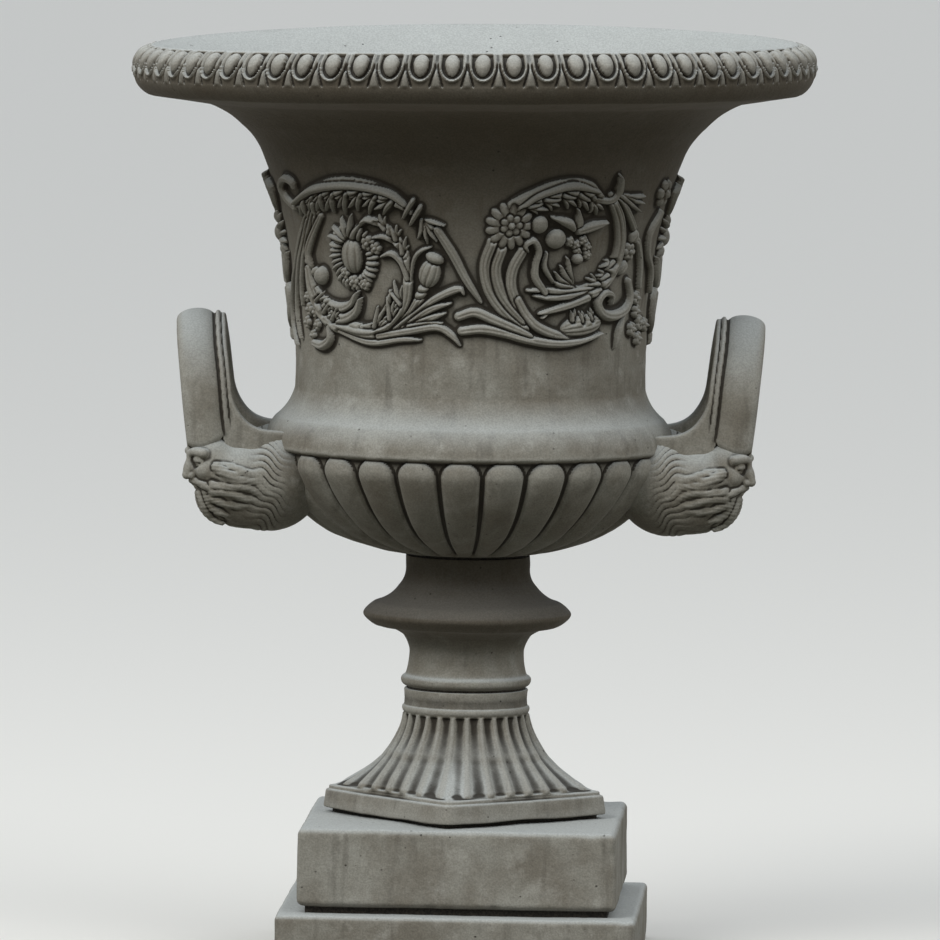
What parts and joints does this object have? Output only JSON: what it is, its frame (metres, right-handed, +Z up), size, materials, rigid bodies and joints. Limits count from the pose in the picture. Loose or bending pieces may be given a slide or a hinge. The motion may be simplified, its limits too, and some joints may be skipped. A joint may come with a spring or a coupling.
{
  "type": "urn planter",
  "caption": "Campana garden urn planter with loop handles on bearded heads, a fluted foot and a square plinth.",
  "frame": {"origin": "on the floor, at the middle of the base slab's underside", "axes": "+Z up, -Y the front of the urn, -X its left handle and +X its right handle"},
  "size_m": [0.6108, 0.6108, 0.8245],
  "materials": {
    "cast_stone": "weathered cast stone",
    "mortar": "rough mortar",
    "steel": "plain bar",
    "drain_plastic": "matt"
  },
  "bodies": {
    "root": {"bowl": "cast_stone", "handle_left": "cast_stone", "handle_right": "cast_stone", "mask_left_front": "cast_stone", "mask_left_back": "cast_stone", "mask_right_front": "cast_stone", "mask_right_back": "cast_stone", "knop_stem": "cast_stone", "fluted_foot": "cast_stone", "plinth": "cast_stone", "base_slab": "cast_stone", "bedding_slab_plinth": "mortar", "bedding_plinth_foot": "mortar", "bedding_foot_stem": "mortar", "bedding_stem_bowl": "mortar", "dowels_slab_plinth": "steel", "dowels_plinth_foot": "steel", "dowels_foot_stem": "steel", "dowels_stem_bowl": "steel", "dowels_handle_left": "steel", "dowels_handle_right": "steel", "dowels_mask_left": "steel", "dowels_mask_right": "steel", "drain_tube": "drain_plastic"}
  },
  "joints": []
}
